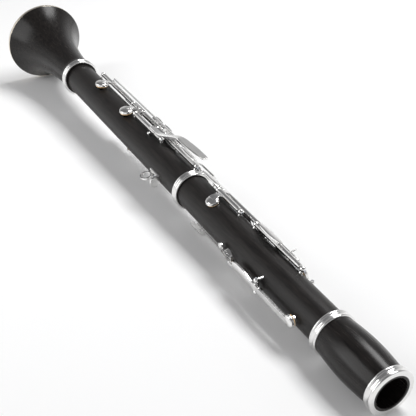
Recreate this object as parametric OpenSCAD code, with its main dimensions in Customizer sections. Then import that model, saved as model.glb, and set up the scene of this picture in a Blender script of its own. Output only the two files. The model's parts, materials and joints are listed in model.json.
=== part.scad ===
// Soprano clarinet in B flat, without its mouthpiece, lying on its side.
// Stations run along the bore from the barrel's mouth towards the bell. Azimuths turn about
// the bore: 0 is the front, where the finger holes are, 90 the player's left, 180 the thumb side.
// Keys are drawn shut, and those that stand open are then swung open about their rods.

/* [Wood] */
// Visible length of the barrel
barrel_len = 65; // [62:0.5:67]
// Visible length of the upper joint, between its shoulders
upper_len = 189.5; // [188.5:0.5:192]
// Visible length of the lower joint, between its shoulders
lower_len = 235; // [233:0.5:238]
// Length of the bell
bell_len = 105.5; // [98:0.5:112]
// Outer radius of the upper joint
upper_r = 14.1; // [13.9:0.05:14.4]
// Outer radius of the lower joint
lower_r = 14.3; // [14.1:0.05:14.6]
// Radius of the cylindrical bore
bore_r = 7.3; // [7.1:0.05:7.5]
// Outer radius of the barrel beside its rings
barrel_end_r = 15.5; // [15:0.1:16]
// How far the barrel swells at its middle
barrel_swell = 1.7; // [0.8:0.1:2.2]
// Outer radius of the bell at its waist
bell_waist_r = 15.4; // [15:0.1:16]
// Outer radius of the bell at its mouth
bell_mouth_r = 39.2; // [37:0.2:41]
// How late the bell flares: a low value gives a cone
bell_curve = 2.6; // [1.6:0.1:3.6]
// Wall of the bell at its mouth
bell_wall = 3.4; // [2.8:0.1:4.5]

/* [Sockets and tenons] */
// Radius of the mouthpiece socket
mouthpiece_socket_r = 11.7; // [11.5:0.05:11.9]
// Depth of the mouthpiece socket
mouthpiece_socket_depth = 17; // [15:0.5:19]
// Radius of the tenons of the upper joint
tenon_r = 11; // [10.8:0.05:11.2]
// Radius of the tenon at the foot of the lower joint
bell_tenon_r = 11.6; // [11.4:0.05:11.8]
// Length of every tenon
tenon_len = 17; // [15:0.5:19]
// How far each cork stands proud of its tenon
cork_proud = 0.35; // [0.25:0.05:0.45]
// Running clearance between a cork and its socket
cork_clearance = 0.05; // [0.03:0.01:0.09]

/* [Rings] */
// Height of the joint rings along the bore
ring_len = 6.6; // [5.5:0.1:7]
// Outer radius of the mouthpiece socket ring
mouth_ring_r = 17.1; // [16.8:0.1:17.6]
// Outer radius of the ring at the foot of the barrel
barrel_ring_r = 16.9; // [16.6:0.1:17.4]
// Outer radius of the ring at the head of the lower joint
middle_ring_r = 16.5; // [16.3:0.1:16.7]
// Outer radius of the ring at the head of the bell
bell_ring_r = 17.8; // [17.5:0.1:18.4]
// Inner radius of the metal on the barrel's end face
mouth_edge_r = 13.45; // [13:0.05:14]
// Width of the ring around the bell's mouth
bell_rim_len = 4.2; // [3:0.1:6]
// Thickness of the joint rings at their edges
ring_wall = 1.5; // [1.2:0.1:1.7]

/* [Keywork] */
// Radius of the steel rods
rod_r = 1; // [0.8:0.05:1.1]
// Running clearance between a rod and its hinge tube
rod_clearance = 0.05; // [0.02:0.01:0.09]
// Outer radius of the hinge tubes
tube_r = 2.1; // [1.9:0.05:2.15]
// Height of the rods' axes above the wood
rod_height = 3.7; // [3.6:0.05:3.9]
// Radius of the ball heads of the posts
ball_r = 2.3; // [2.1:0.05:2.35]
// Radius of a post's stem
post_r = 1.35; // [1.1:0.05:1.5]
// Gap between a hinge tube and what stands beside it
end_play = 0.12; // [0.06:0.02:0.2]
// Radius of the pad cups on the upper joint
cup_r = 5.2; // [4.9:0.1:5.4]
// Radius of the pad cups of the little fingers' keys
big_cup_r = 5.9; // [5.6:0.1:6.2]
// Height of a pad and its cup together
cup_h = 3.3; // [3.1:0.1:3.5]
// How far a pad stands off its seat when it is shut
shut_gap = 0.08; // [0.05:0.01:0.12]
// Thickness of the key arms
arm_t = 1.5; // [1.2:0.1:1.6]
// Width of the key arms
arm_w = 3.6; // [3:0.1:4]
// Thickness of the touchpieces
touch_t = 1.3; // [1:0.1:1.5]
// Outer radius of the finger rings
finger_ring_r = 7.5; // [7.2:0.1:7.7]
// Width of the metal of the finger rings
finger_ring_w = 1.4; // [1.2:0.1:1.5]
// Outer radius of the thumb ring
thumb_ring_r = 8.8; // [8.4:0.1:9]
// Outer radius of the chimneys inside the finger rings
chimney_r = 5.7; // [5.4:0.1:5.8]
// Height of the chimneys above the wood
chimney_h = 2; // [1.8:0.1:2.2]
// Radius of the open finger holes
finger_hole_r = 3.9; // [3.2:0.1:4.2]
// Radius of the holes under the pads
pad_hole_r = 2.7; // [2.3:0.1:2.9]
// Radius of the needle springs
spring_r = 0.35; // [0.25:0.05:0.4]

/* [Thumb rest] */
// Station of the thumb rest below the head of the lower joint
rest_v = 40; // [34:1:60]
// Height of the thumb rest's hook
rest_h = 7.5; // [6:0.5:10]
// Outer radius of the strap loop
strap_loop_r = 5.2; // [4.8:0.1:5.6]

/* [Lying] */
// Turn of the front from straight up towards the far side, in degrees
roll = 78; // [70:1:86]

/* [Hidden] */
$fn = 48;
eps = 0.02;

upper_s = barrel_len;
lower_s = barrel_len + upper_len;
bell_s = lower_s + lower_len;
end_s = bell_s + bell_len;
function at_upper(u) = upper_s + u;
function at_lower(v) = lower_s + v;

// The bell's rim and the barrel's mouth ring both touch the ground
tilt = asin((bell_mouth_r - mouth_ring_r) / end_s);
// Distance from the bore's axis to the ground at a station
function ground_r(s) = mouth_ring_r + (bell_mouth_r - mouth_ring_r) * s / end_s;

joint_gap = 0.15;
cork_inset = 2.5;
cork_depth = 1.3;
socket_spare = 0.8;
cork_r = tenon_r + cork_proud;
bell_cork_r = bell_tenon_r + cork_proud;
socket_r = cork_r + cork_clearance;
bell_socket_r = bell_cork_r + cork_clearance;
flare_steps = 28;
swell_steps = 18;

upper_rod = upper_r + rod_height;
lower_rod = lower_r + rod_height;
// Tops of the hinge tubes
upper_tube_top = upper_rod + tube_r;
lower_tube_top = lower_rod + tube_r;
ring_t = 1.2;
contact_gap = 0.5;
// A post's centre beside the end of a hinge tube
post_gap = ball_r + end_play;

// Flat seat milled for a pad: deep enough for a full ring of wood round the hole
function seat_of(body_r) = sqrt(pow(body_r, 2) - pow(pad_hole_r + 1.2, 2));
seat_u = seat_of(upper_r);
seat_l = seat_of(lower_r);

// Azimuths of the rods
ring_rod_az = 32;
g_rod_az = 48;
c_rod_az = 58;
thumb_rod_az = -131;
sliver_rod_az = -38;
low_ring_rod_az = 50;
left_rod_az = 34;
lever_rod_az = 72;
rocker_rod_az = 10;
right_rod_az = -76;
low_sliver_rod_az = -58;

// Opening angles of the keys that stand open
ring_open = 7;
thumb_open = 5;
e_open = 11;
f_sharp_open = 11;
f_open = 8;
lever_open = 14;
rocker_open = 11;

// Upper joint: stations of holes, pads and posts
first_s = at_upper(84);
second_s = at_upper(108);
third_s = at_upper(131);
first_pad_s = at_upper(67);
second_pad_s = at_upper(148);
front_pad_az = 4;
first_cup_r = cup_r - 0.4;
register_s = at_upper(20.5);
register_pivot_s = at_upper(63);
register_tip_s = at_upper(93.5);
register_az = 170;
register_rod = upper_r + 4;
register_top = upper_r + 1.9;
register_cup_r = cup_r - 0.5;
register_half = 3.2;
thumb_s = at_upper(107.5);
thumb_az = 188;
thumb_pad_s = at_upper(88);
thumb_pad_az = 204;
thumb_cup_r = cup_r - 0.8;
a_az = -27;
a_pad_s = at_upper(34);
a_pivot_s = at_upper(48.5);
a_rod = upper_rod + 1;
a_half = 1.9;
g_pad_s = at_upper(54);
g_pad_az = 6;
c_pad_s = at_upper(151);
c_pad_az = 94;
sliver_s = at_upper(119.5);
sliver_pad_az = -66;
small_cup_r = cup_r - 1;
cross_ball_r = 1.9;
ring_posts = [at_upper(60), at_upper(96), at_upper(176)];
g_posts = [at_upper(47), at_upper(108)];
c_posts = [at_upper(126), at_upper(160)];
thumb_posts = [at_upper(80), at_upper(119)];
sliver_posts = [at_upper(110), at_upper(129)];

// Side keys: pad's station, azimuth, touch's end and radius of the touch
side_pivot_s = at_upper(100);
side_bar_r = upper_r + 6.4;
side_bar_w = 3.4;
side_rod = side_bar_r + touch_t / 2;
side_touch_len = 19;
side_touch_w = 5;
saddle_t = 0.8;
// The two lowest touches bear on the ground
low_touch_r = ground_r(at_upper(184)) - touch_t - 0.1;
side_keys = [
    [at_upper(41.5), -60, at_upper(161), side_bar_r],
    [at_upper(60), -77, at_upper(161), side_bar_r],
    [at_upper(46), -94, at_upper(184), low_touch_r],
    [at_upper(60), -111, at_upper(184), low_touch_r]
];

// Lower joint: stations of holes, pads and posts
right_s = [at_lower(23), at_lower(47), at_lower(73)];
right_pad_s = at_lower(35);
right_cup_r = cup_r - 1.2;
low_sliver_s = at_lower(60);
low_sliver_pad_az = -86;
e_flat_s = at_lower(108);
e_flat_az = -112;
f_sharp_s = at_lower(120.5);
f_sharp_az = 93;
f_s = at_lower(150);
f_az = -4;
e_s = at_lower(179.5);
e_az = 85;
low_ring_posts = [at_lower(10.5), at_lower(82)];
low_sliver_posts = [at_lower(51), at_lower(69)];
e_lever_posts = [at_lower(52), at_lower(68)];
left_posts = [at_lower(82.5), at_lower(139.5), at_lower(207.5)];
lever_posts = [at_lower(60.5), at_lower(112.5)];
rocker_posts = [at_lower(84), at_lower(139)];
right_posts = [at_lower(82), at_lower(118.5), at_lower(159.5)];
rest_s = at_lower(rest_v);

// ---- Frames -------------------------------------------------------------------------------

// Lays the instrument down: the front turned to the far side, the bell raised by its rim
module lying() rotate([0, tilt, 0]) rotate([-roll, 0, 0]) children();

// At a station and azimuth: Z points out of the bore, X towards the barrel
module place(s, az) translate([-s, 0, 0]) rotate([az, 0, 0]) children();

// Turned about a rod that runs along the bore
module swing(az, r, angle)
    rotate([az, 0, 0]) translate([0, 0, r]) rotate([angle, 0, 0])
        translate([0, 0, -r]) rotate([-az, 0, 0]) children();

// ---- Plain forms --------------------------------------------------------------------------

// Cylinder along the bore's direction between two stations
module run(s_a, s_b, az, r, radius)
    rotate([az, 0, 0]) translate([-s_b, 0, r]) rotate([0, 90, 0]) cylinder(r = radius, h = s_b - s_a);

// Cylinder round the bore itself
module core(s_a, s_b, radius) run(s_a, s_b, 0, 0, radius);

// Strap bent round the bore, between two azimuths
module strap(s, az_a, az_b, r_in, r_out, w)
    translate([-s, 0, 0]) rotate([min(az_a, az_b), 0, 0]) rotate([180, -90, 0])
        rotate_extrude(angle = abs(az_b - az_a)) translate([r_in, -w / 2]) square([r_out - r_in, w]);

// Bar along the bore's direction, w wide, from radius r_in to r_out
module bar(s_a, s_b, az, r_in, r_out, w)
    rotate([az, 0, 0]) translate([-s_b, -w / 2, r_in]) cube([s_b - s_a, w, r_out - r_in]);

// Solid of revolution about the bore: points are [radius, station]
module turned(points)
    rotate([0, -90, 0]) rotate_extrude($fn = 96) polygon(points);

// Outline of a touchpiece: its length along X, its half width by the rule w
function leaf(len, w_a, w_b, belly, n = 14) = concat(
    [for (i = [0:n]) [len * i / n, leaf_half(i / n, w_a, w_b, belly)]],
    [for (i = [n:-1:0]) [len * i / n, -leaf_half(i / n, w_a, w_b, belly)]]);
function leaf_half(t, w_a, w_b, belly) =
    (w_a + (w_b - w_a) * t) / 2 * pow(sin(180 * (0.06 + 0.88 * t)), 0.35) + belly * sin(180 * t);

// Long touchpiece curved with the body: w_a wide at its end towards the bell
module touch(s_a, s_b, az, r, w_a, w_b, belly = 0)
    intersection() {
        difference() {
            core(s_a - 1, s_b + 1, r + touch_t);
            core(s_a - 2, s_b + 2, r);
        }
        place(s_b, az) translate([0, 0, r / 2])
            linear_extrude(height = r) polygon(leaf(s_b - s_a, w_a, w_b, belly));
    }

// Flat plate with round corners, lying square to its azimuth
function round_box(l, w, c, n = 6) = [for (q = [0:3]) for (i = [0:n])
    let (a = 90 * (q + i / n),
        x = (q == 0 || q == 3) ? l / 2 - c : c - l / 2,
        y = (q < 2) ? w / 2 - c : c - w / 2)
    [x + c * cos(a), y + c * sin(a)]];
module plate(s, az, r, l, w, c)
    place(s, az) translate([0, 0, r]) linear_extrude(height = touch_t) polygon(round_box(l, w, c));

// ---- Keywork forms ------------------------------------------------------------------------

// Everything on a rod: the hinge tube between two stations, bored through all that it carries
module on_rod(s_a, s_b, az, r)
    difference() {
        union() {
            run(s_a, s_b, az, r, tube_r);
            children();
        }
        run(s_a - 1, s_b + 1, az, r, rod_r + rod_clearance);
    }

// Crosswise cylinder for a rocking key
module across(s, az, r, half, radius)
    place(s, az) translate([0, half, r]) rotate([90, 0, 0]) cylinder(r = radius, h = 2 * half);

module on_pivot(s, az, r, half)
    difference() {
        union() {
            across(s, az, r, half, tube_r);
            children();
        }
        across(s, az, r, half + 1, rod_r + rod_clearance);
    }

// Pad cup with a domed back, hollow below for its pad
skirt = 1.1;
cup_back = 0.8;
pad_room = 0.35;
module cup_body(s, az, seat, radius)
    place(s, az) translate([0, 0, seat + shut_gap]) {
        translate([0, 0, skirt]) cylinder(r = radius, h = cup_h - skirt - cup_back / 2);
        translate([0, 0, cup_h - cup_back / 2 - eps]) cylinder(r1 = radius, r2 = radius * 0.7, h = cup_back);
    }
module cup_room(s, az, seat, radius)
    place(s, az) translate([0, 0, seat + shut_gap + skirt - 2])
        cylinder(r = radius - pad_room, h = cup_h - cup_back - skirt + 2);
module cup(s, az, seat, radius)
    difference() {
        cup_body(s, az, seat, radius);
        cup_room(s, az, seat, radius);
    }

// Pad: a felt disc under skin, seated against the back of its cup
module pad(s, az, seat, radius)
    place(s, az) translate([0, 0, seat + shut_gap])
        cylinder(r = radius - pad_room - 0.1, h = cup_h - cup_back);

// Pad cup with its arm, which runs from a rod line over the back of the cup
module cup_arm(s, az_rod, az_cup, seat, radius, w = arm_w, aside = 0)
    difference() {
        union() {
            strap(s + aside, az_rod, az_cup, seat + shut_gap + cup_h - 0.3, seat + shut_gap + cup_h - 0.3 + arm_t, w);
            cup_body(s, az_cup, seat, radius);
        }
        cup_room(s, az_cup, seat, radius);
    }

// Finger ring, flat across its hole
module finger_ring(s, az, body_r, outer_r)
    place(s, az) translate([0, 0, body_r + chimney_h - ring_t]) difference() {
        cylinder(r = outer_r, h = ring_t);
        translate([0, 0, -1]) cylinder(r = outer_r - finger_ring_w, h = ring_t + 2);
    }

// Web from a rod line to a finger ring on the front
module ring_web(s, rod_az, body_r)
    strap(s, 24, rod_az, body_r + chimney_h + 0.1, body_r + chimney_h + 0.1 + arm_t, 4.4);

// Post: a stem let into the wood, its ball drilled for a rod along the bore
stem_depth = 2.6;
module post(s, az, body_r, r)
    difference() {
        place(s, az) {
            translate([0, 0, body_r - stem_depth]) cylinder(r = post_r, h = r - body_r + stem_depth);
            translate([0, 0, r]) sphere(r = ball_r);
        }
        run(s - 4, s + 4, az, r, rod_r + eps);
    }

// Pair of posts on either side of a rocking key, drilled crosswise
module cross_posts(s, az, body_r, r, half) {
    side = half + end_play + cross_ball_r;
    difference() {
        for (m = [-1, 1])
            place(s, az) {
                translate([0, m * side, r]) sphere(r = cross_ball_r);
                translate([0, m * side, body_r - 5]) cylinder(r = post_r, h = r - body_r + 5);
            }
        across(s, az, r, side + cross_ball_r + 1, rod_r + eps);
    }
}

// Saddle: a foot with two thin ears for a side key's pivot
saddle_len = 3.2;
module saddle(s, az, body_r, r) {
    ear = side_bar_w / 2 + end_play;
    difference() {
        place(s, az) {
            for (m = [-1, 1])
                translate([-saddle_len / 2, m * (ear + saddle_t / 2) - saddle_t / 2, body_r - 2])
                    cube([saddle_len, saddle_t, r - body_r + 3.6]);
            translate([-saddle_len / 2, -ear - saddle_t, body_r - 2])
                cube([saddle_len, 2 * (ear + saddle_t), 2.6]);
        }
        across(s, az, r, ear + 2, rod_r + eps);
    }
}

// Needle spring let into a post's stem, lying under the hinge tube
module needle(s_a, s_b, az, tube_axis_r)
    run(s_a, s_b, az, tube_axis_r - tube_r - spring_r - 0.15, spring_r);

// Milled seat and drilled hole for one pad
module pad_hole(s, az, seat, radius, hole_r = pad_hole_r) {
    place(s, az) translate([0, 0, seat]) cylinder(r = radius + 0.9, h = 20);
    place(s, az) cylinder(r = hole_r, h = 30);
}

// Groove turned in a tenon, and the cork that fills it
module cork_groove(s_a, s_b, radius)
    difference() {
        core(s_a + cork_inset, s_b - cork_inset, radius + 1);
        core(s_a, s_b, radius - cork_depth);
    }
module cork(s_a, s_b, radius)
    difference() {
        core(s_a + cork_inset, s_b - cork_inset, radius + cork_proud);
        core(s_a, s_b, radius - cork_depth);
    }

// Joint ring: two beads with a hollow between
module joint_ring(s, ring_r)
    difference() {
        union() {
            core(s, s + ring_len, ring_r - 0.5);
            core(s + 0.6, s + 2.5, ring_r);
            core(s + ring_len - 2.5, s + ring_len - 0.6, ring_r);
        }
        core(s - 1, s + ring_len + 1, ring_r - ring_wall);
    }

metal = [0.82, 0.82, 0.82];
steel = [0.62, 0.64, 0.68];
black = [0.07, 0.07, 0.07];
cork_tan = [0.72, 0.55, 0.36];
pad_tan = [0.86, 0.76, 0.58];

// ---- Lower joint --------------------------------------------------------------------------

module lower_joint() color(black) lying()
    difference() {
        union() {
            core(lower_s + ring_len + joint_gap, bell_s - joint_gap, lower_r);
            core(lower_s, lower_s + ring_len + joint_gap + 1, middle_ring_r - ring_wall);
            core(bell_s - 1, bell_s + tenon_len, bell_tenon_r);
            for (s = right_s) place(s, 0) cylinder(r = chimney_r, h = lower_r + chimney_h);
        }
        core(lower_s - 1, bell_s + tenon_len + 1, bore_r);
        core(lower_s - 1, lower_s + tenon_len + socket_spare, socket_r);
        cork_groove(bell_s, bell_s + tenon_len, bell_tenon_r);
        for (s = right_s) place(s, 0) cylinder(r = finger_hole_r, h = 30);
        pad_hole(right_pad_s, 0, seat_l, right_cup_r, right_cup_r - 1.6);
        pad_hole(low_sliver_s, low_sliver_pad_az, seat_l, small_cup_r, small_cup_r - 1.6);
        pad_hole(e_flat_s, e_flat_az, seat_l, big_cup_r);
        pad_hole(f_s, f_az, seat_l, big_cup_r);
        pad_hole(f_sharp_s, f_sharp_az, seat_l, big_cup_r);
        pad_hole(e_s, e_az, seat_l, big_cup_r);
    }

module lower_socket_ring() color(metal) lying() joint_ring(lower_s, middle_ring_r);

module bell_tenon_cork() color(cork_tan) lying() cork(bell_s, bell_s + tenon_len, bell_tenon_r);

rest_len = 15;
rest_w = 9;
rest_t = 1.3;
screw_r = 1.1;
screw_head = 0.9;
rest_screws = [-3.8, -0.1];
module rest_screw_places() for (m = rest_screws) place(rest_s + m, 180) children();

module thumb_rest() color(metal) lying()
    difference() {
        union() {
            intersection() {
                core(rest_s - rest_len / 2, rest_s + rest_len / 2, lower_r + rest_t);
                bar(rest_s - rest_len, rest_s + rest_len, 180, 0, 2 * lower_r, rest_w);
            }
            // Hook that the thumb bears against
            bar(rest_s - rest_len / 2, rest_s - rest_len / 2 + 1.8, 180, lower_r - 2, lower_r + rest_h - 1,
                rest_w);
            place(rest_s - rest_len / 2 + 1.8, 180) translate([0, 0, lower_r + rest_h - 1 - rest_w / 2 + 2])
                rotate([0, 90, 0]) cylinder(r = rest_w / 2, h = 1.8);
            // Loop for a neck strap
            place(rest_s + rest_len / 2 - 1.5, 180)
                translate([0, 1, lower_r + rest_t + strap_loop_r - 0.5])
                    rotate([90, 0, 0]) cylinder(r = strap_loop_r, h = 2);
        }
        core(rest_s - rest_len, rest_s + rest_len, lower_r + eps);
        place(rest_s + rest_len / 2 - 1.5, 180)
            translate([0, 3, lower_r + rest_t + strap_loop_r - 0.5])
                rotate([90, 0, 0]) cylinder(r = strap_loop_r - 1.3, h = 6);
        rest_screw_places() cylinder(r = screw_r + eps, h = lower_r + rest_t + screw_head);
    }

module thumb_rest_screws() color(steel) lying()
    rest_screw_places() difference() {
        union() {
            translate([0, 0, lower_r - 5]) cylinder(r = screw_r, h = 5 + rest_t);
            translate([0, 0, lower_r + rest_t]) cylinder(r1 = screw_r + 0.6, r2 = screw_r + 0.3, h = screw_head);
        }
        translate([-3, -0.3, lower_r + rest_t + 0.5]) cube([6, 0.6, 2]);
    }

module lower_posts() color(metal) lying() {
    for (s = low_ring_posts) post(s, low_ring_rod_az, lower_r, lower_rod);
    for (s = low_sliver_posts) post(s, low_sliver_rod_az, lower_r, lower_rod);
    for (s = e_lever_posts) post(s, left_rod_az, lower_r, lower_rod);
    for (s = left_posts) post(s, left_rod_az, lower_r, lower_rod);
    for (s = lever_posts) post(s, lever_rod_az, lower_r, lower_rod);
    for (s = rocker_posts) post(s, rocker_rod_az, lower_r, lower_rod);
    for (s = right_posts) post(s, right_rod_az, lower_r, lower_rod);
    // Small post that carries the left lever's spring
    place(at_lower(76), 87) {
        translate([0, 0, lower_r - stem_depth]) cylinder(r = 0.9, h = stem_depth + 2.6);
        translate([0, 0, lower_r + 3]) sphere(r = 1.4);
    }
}

rod_reach = ball_r + 0.4;
module rod_through(posts, az, r) run(posts[0] - rod_reach, posts[len(posts) - 1] + rod_reach, az, r, rod_r);

module lower_rods() color(steel) lying() {
    rod_through(low_ring_posts, low_ring_rod_az, lower_rod);
    rod_through(low_sliver_posts, low_sliver_rod_az, lower_rod);
    rod_through(e_lever_posts, left_rod_az, lower_rod);
    rod_through(left_posts, left_rod_az, lower_rod);
    rod_through(lever_posts, lever_rod_az, lower_rod);
    rod_through(rocker_posts, rocker_rod_az, lower_rod);
    rod_through(right_posts, right_rod_az, lower_rod);
}

needle_len = 14;
module lower_needle_springs() color(steel) lying() {
    needle(low_ring_posts[1] - needle_len, low_ring_posts[1], low_ring_rod_az, lower_rod);
    needle(left_posts[1] - needle_len, left_posts[1], left_rod_az, lower_rod);
    needle(left_posts[1], left_posts[1] + needle_len, left_rod_az, lower_rod);
    needle(lever_posts[0], lever_posts[0] + needle_len, lever_rod_az, lower_rod);
    needle(right_posts[1], right_posts[1] + needle_len, right_rod_az, lower_rod);
}

// ---- Bell ---------------------------------------------------------------------------------

function ease(t, k) = (exp(k * t) - 1) / (exp(k) - 1);
waist_s = bell_s + ring_len + 6;
throat_s = bell_s + tenon_len + socket_spare;
rim_s = end_s - bell_rim_len;
throat_r = bell_tenon_r - 1.4;
module bell() color(black) lying()
    turned(concat(
        [[bell_socket_r, bell_s], [bell_ring_r - ring_wall, bell_s],
         [bell_ring_r - ring_wall, bell_s + ring_len + 0.3]],
        [for (i = [0:flare_steps]) let (t = i / flare_steps)
            [bell_waist_r + (bell_mouth_r - bell_waist_r) * ease(t, bell_curve), waist_s + (rim_s - waist_s) * t]],
        [for (i = [flare_steps:-1:0]) let (t = i / flare_steps)
            [throat_r + (bell_mouth_r - bell_wall - throat_r) * ease(t, bell_curve * 0.9),
             throat_s + (rim_s - throat_s) * t]],
        [[bell_socket_r, throat_s]]));

module bell_mouth_ring() color([0.88, 0.83, 0.74]) lying()
    turned([[bell_mouth_r - bell_wall, rim_s],
        [bell_mouth_r, rim_s],
        [bell_mouth_r, end_s - 0.8],
        [bell_mouth_r - 0.8, end_s],
        [bell_mouth_r - bell_wall + 0.6, end_s],
        [bell_mouth_r - bell_wall, end_s - 0.6]]);

module bell_socket_ring() color(metal) lying() joint_ring(bell_s, bell_ring_r);

// ---- Upper joint --------------------------------------------------------------------------

vent_r = 1.5;
vent_wall_r = 2.8;
thumb_tube_r = 5.6;
module upper_joint() color(black) lying()
    difference() {
        union() {
            core(upper_s + joint_gap, lower_s - joint_gap, upper_r);
            core(upper_s - tenon_len, upper_s + 1, tenon_r);
            core(lower_s - 1, lower_s + tenon_len, tenon_r);
            for (s = [first_s, second_s, third_s]) place(s, 0) cylinder(r = chimney_r, h = upper_r + chimney_h);
        }
        core(upper_s - tenon_len - 1, lower_s + tenon_len + 1, bore_r);
        cork_groove(upper_s - tenon_len, upper_s, tenon_r);
        cork_groove(lower_s, lower_s + tenon_len, tenon_r);
        for (s = [first_s, second_s, third_s]) place(s, 0) cylinder(r = finger_hole_r, h = 30);
        place(register_s, register_az) cylinder(r = vent_wall_r, h = 30);
        place(thumb_s, thumb_az) cylinder(r = thumb_tube_r, h = 30);
        pad_hole(thumb_pad_s, thumb_pad_az, seat_u, thumb_cup_r);
        pad_hole(first_pad_s, front_pad_az, seat_u, first_cup_r);
        pad_hole(second_pad_s, front_pad_az, seat_u, cup_r);
        pad_hole(a_pad_s, a_az, seat_u, cup_r);
        pad_hole(g_pad_s, g_pad_az, seat_u, cup_r);
        pad_hole(c_pad_s, c_pad_az, seat_u, cup_r);
        pad_hole(sliver_s, sliver_pad_az, seat_u, small_cup_r, small_cup_r - 1.6);
        for (k = side_keys) pad_hole(k[0], k[1], seat_u, small_cup_r, small_cup_r - 1.6);
    }

module upper_tenon_corks() color(cork_tan) lying() {
    cork(upper_s - tenon_len, upper_s, tenon_r);
    cork(lower_s, lower_s + tenon_len, tenon_r);
}

module register_vent() color(metal) lying()
    place(register_s, register_az) difference() {
        union() {
            translate([0, 0, bore_r + 0.3]) cylinder(r = vent_wall_r, h = register_top - bore_r - 0.3);
            translate([0, 0, upper_r]) cylinder(r = vent_wall_r + 0.7, h = register_top - upper_r);
        }
        cylinder(r = vent_r, h = 30);
    }

module thumb_tube() color(metal) lying()
    place(thumb_s, thumb_az) difference() {
        translate([0, 0, bore_r + 1.5]) cylinder(r = thumb_tube_r, h = upper_r + chimney_h - bore_r - 1.5);
        cylinder(r = thumb_tube_r - 1.3, h = 30);
    }

module upper_posts() color(metal) lying() {
    for (s = ring_posts) post(s, ring_rod_az, upper_r, upper_rod);
    for (s = g_posts) post(s, g_rod_az, upper_r, upper_rod);
    for (s = c_posts) post(s, c_rod_az, upper_r, upper_rod);
    for (s = thumb_posts) post(s, thumb_rod_az, upper_r, upper_rod);
    for (s = sliver_posts) post(s, sliver_rod_az, upper_r, upper_rod);
    cross_posts(register_pivot_s, register_az, upper_r, register_rod, register_half);
    cross_posts(a_pivot_s, a_az, upper_r, a_rod, a_half);
    for (k = side_keys) saddle(side_pivot_s, k[1], upper_r, side_rod);
}

module upper_rods() color(steel) lying() {
    rod_through(ring_posts, ring_rod_az, upper_rod);
    rod_through(g_posts, g_rod_az, upper_rod);
    rod_through(c_posts, c_rod_az, upper_rod);
    rod_through(thumb_posts, thumb_rod_az, upper_rod);
    rod_through(sliver_posts, sliver_rod_az, upper_rod);
    across(register_pivot_s, register_az, register_rod, register_half + end_play + 2 * cross_ball_r, rod_r);
    across(a_pivot_s, a_az, a_rod, a_half + end_play + 2 * cross_ball_r, rod_r);
    for (k = side_keys)
        across(side_pivot_s, k[1], side_rod, side_bar_w / 2 + end_play + saddle_t + 0.1, rod_r);
}

module upper_needle_springs() color(steel) lying() {
    needle(ring_posts[1], ring_posts[1] + needle_len, ring_rod_az, upper_rod);
    needle(g_posts[0], g_posts[0] + needle_len, g_rod_az, upper_rod);
    needle(c_posts[0], c_posts[0] + needle_len, c_rod_az, upper_rod);
    needle(thumb_posts[1] - needle_len, thumb_posts[1], thumb_rod_az, upper_rod);
}

// ---- Barrel -------------------------------------------------------------------------------

mouth_flange = 0.8;
module barrel() color(black) lying()
    turned(concat(
        [[mouthpiece_socket_r, 0], [mouth_edge_r, 0], [mouth_edge_r, mouth_flange],
         [mouth_ring_r - ring_wall, mouth_flange],
         [mouth_ring_r - ring_wall, ring_len]],
        [for (i = [0:swell_steps]) let (t = i / swell_steps)
            [barrel_end_r + barrel_swell * sin(180 * t), ring_len + (barrel_len - 2 * ring_len) * t]],
        [[barrel_ring_r - ring_wall, barrel_len - ring_len],
         [barrel_ring_r - ring_wall, barrel_len],
         [socket_r, barrel_len],
         [socket_r, barrel_len - tenon_len - socket_spare],
         [bore_r, barrel_len - tenon_len - socket_spare],
         [bore_r, mouthpiece_socket_depth],
         [mouthpiece_socket_r, mouthpiece_socket_depth]]));

module barrel_rings() color(metal) lying() {
    joint_ring(0, mouth_ring_r);
    difference() {
        core(0, mouth_flange, mouth_ring_r - ring_wall + 0.2);
        core(-1, mouth_flange + 1, mouth_edge_r);
    }
    joint_ring(barrel_len - ring_len, barrel_ring_r);
}

// ---- Keys of the upper joint --------------------------------------------------------------

register_arm_r = register_top + shut_gap + cup_h - cup_back + 0.05;
module register_key() color(metal) lying()
    on_pivot(register_pivot_s, register_az, register_rod, register_half) {
        bar(register_s, register_pivot_s + 4, register_az, register_arm_r, register_arm_r + arm_t, 4.4);
        touch(register_pivot_s + 2, register_tip_s, register_az + 3, register_arm_r, 9.4, 6, 0.6);
        cup(register_s, register_az, register_top, register_cup_r);
    }
module register_pad() color(pad_tan) lying() pad(register_s, register_az, register_top, register_cup_r);

a_arm_r = a_rod + 0.2;
module a_key() color(metal) lying()
    on_pivot(a_pivot_s, a_az, a_rod, a_half) {
        bar(a_pad_s - 1.8, at_upper(63), a_az, a_arm_r, a_arm_r + arm_t, arm_w);
        bar(a_pad_s - 1.8, a_pad_s + 1.8, a_az, seat_u + cup_h - 0.4, a_arm_r + 0.5, arm_w);
        touch(at_upper(61), at_upper(75), a_az, a_arm_r, 6.8, 5, 0.4);
        cup(a_pad_s, a_az, seat_u, cup_r);
    }
module a_pad() color(pad_tan) lying() pad(a_pad_s, a_az, seat_u, cup_r);

g_touch_r = upper_rod + 3.2;
module g_sharp_key() color(metal) lying()
    on_rod(g_posts[0] + post_gap, g_posts[1] - post_gap, g_rod_az, upper_rod) {
        cup_arm(g_pad_s, g_rod_az, g_pad_az, seat_u, cup_r);
        touch(at_upper(74), at_upper(101), g_rod_az + 9, g_touch_r, 5.2, 6.6, 0.4);
        bar(at_upper(80), at_upper(92), g_rod_az + 2, upper_rod + 1.4, g_touch_r + 0.8, 3);
        // Adjusting screw that leans over the tube
        place(at_upper(66), g_rod_az) translate([0, 0, upper_rod + 1.6]) rotate([0, 40, 0])
            cylinder(r = 0.65, h = 7);
    }
module g_sharp_pad() color(pad_tan) lying() pad(g_pad_s, g_pad_az, seat_u, cup_r);

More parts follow.
